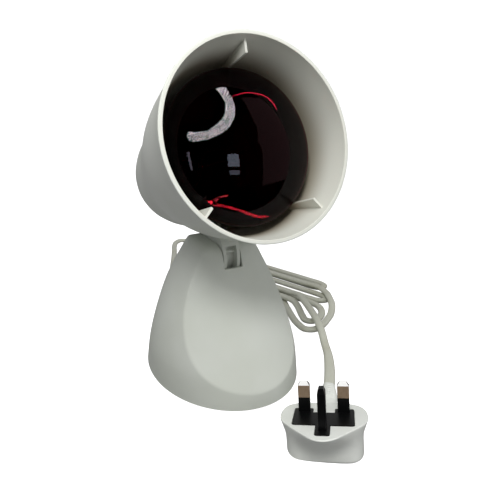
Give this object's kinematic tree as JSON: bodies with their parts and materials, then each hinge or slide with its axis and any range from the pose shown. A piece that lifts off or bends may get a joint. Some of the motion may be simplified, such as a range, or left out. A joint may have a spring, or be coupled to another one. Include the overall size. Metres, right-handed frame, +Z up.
{
  "type": "infrared heat lamp",
  "caption": "Infrared heat lamp: a tilting bell-shaped head with a screw-in ruby reflector bulb on a hooded stand, with a folded lead and a three-pin plug.",
  "frame": {"origin": "on the table, under the middle of the lamp without its cord and plug", "axes": "+Z up, +X to the lamp's own left as seen from behind it, -Y the way the lamp shines"},
  "size_m": [0.2128, 0.421, 0.2259],
  "materials": {
    "housing_plastic": "satin",
    "shade_plastic": "satin",
    "nylon": "satin",
    "foot_rubber": "matte",
    "steel_hardware": "brushed",
    "brass_contacts": "satin",
    "porcelain": "glazed",
    "ruby_glass": "polished",
    "clear_glass": "polished",
    "vitrite": "gloss",
    "tungsten": "drawn",
    "cord_sheath": "satin",
    "plug_moulding": "satin",
    "plug_black": "satin",
    "pin_brass": "satin"
  },
  "bodies": {
    "stand": {"axle_clip": "steel_hardware", "base_plate": "housing_plastic", "base_screw_1": "steel_hardware", "base_screw_2": "steel_hardware", "base_screw_3": "steel_hardware", "base_screw_4": "steel_hardware", "carrier_screw_1": "steel_hardware", "carrier_screw_2": "steel_hardware", "cord_gland": "cord_sheath", "cord_hank": "cord_sheath", "cord_lead": "cord_sheath", "cord_run": "cord_sheath", "cord_saddle": "nylon", "cord_tail": "cord_sheath", "detent_screw": "steel_hardware", "detent_spring": "steel_hardware", "earth_pin": "plug_black", "foot_1": "foot_rubber", "foot_2": "foot_rubber", "foot_3": "foot_rubber", "foot_4": "foot_rubber", "hinge_carrier": "housing_plastic", "hinge_lead": "cord_sheath", "line_pin": "pin_brass", "line_sleeve": "plug_black", "neutral_pin": "pin_brass", "neutral_sleeve": "plug_black", "pin_carrier": "plug_black", "pivot_washer_left": "plug_black", "pivot_washer_right": "plug_black", "plug_body": "plug_moulding", "plug_relief": "plug_moulding", "saddle_screw_1": "steel_hardware", "saddle_screw_2": "steel_hardware", "stand_hood": "housing_plastic", "terminal_block": "nylon", "tilt_axle": "steel_hardware"},
    "head": {"cap_screw_1": "steel_hardware", "cap_screw_2": "steel_hardware", "cap_screw_3": "steel_hardware", "head_lead": "cord_sheath", "holder_contact": "brass_contacts", "holder_screw_1": "steel_hardware", "holder_screw_2": "steel_hardware", "holder_shell": "brass_contacts", "lampholder": "porcelain", "neck": "housing_plastic", "neck_screw_1": "steel_hardware", "neck_screw_2": "steel_hardware", "rear_cap": "shade_plastic", "shade": "shade_plastic"},
    "bulb": {"bulb_cap": "brass_contacts", "bulb_glass": "ruby_glass", "bulb_insulator": "vitrite", "bulb_stem": "clear_glass", "bulb_tip": "brass_contacts", "filament": "tungsten", "filament_lead_1": "steel_hardware", "filament_lead_2": "steel_hardware"}
  },
  "joints": [
    {"name": "head_tilt", "type": "hinge", "parent": "stand", "child": "head", "pos_m": [0, -0.0081, 0.086], "axis": [-1, 0, 0], "range_deg": [-19, 12.67], "deforming": ["hinge_lead"]},
    {"name": "bulb_turn", "type": "hinge", "parent": "head", "child": "bulb", "pos_m": [0, -0.0697, 0.1701], "axis": [0, -0.9455, 0.3256], "range_deg": [0, 1440]}
  ]
}
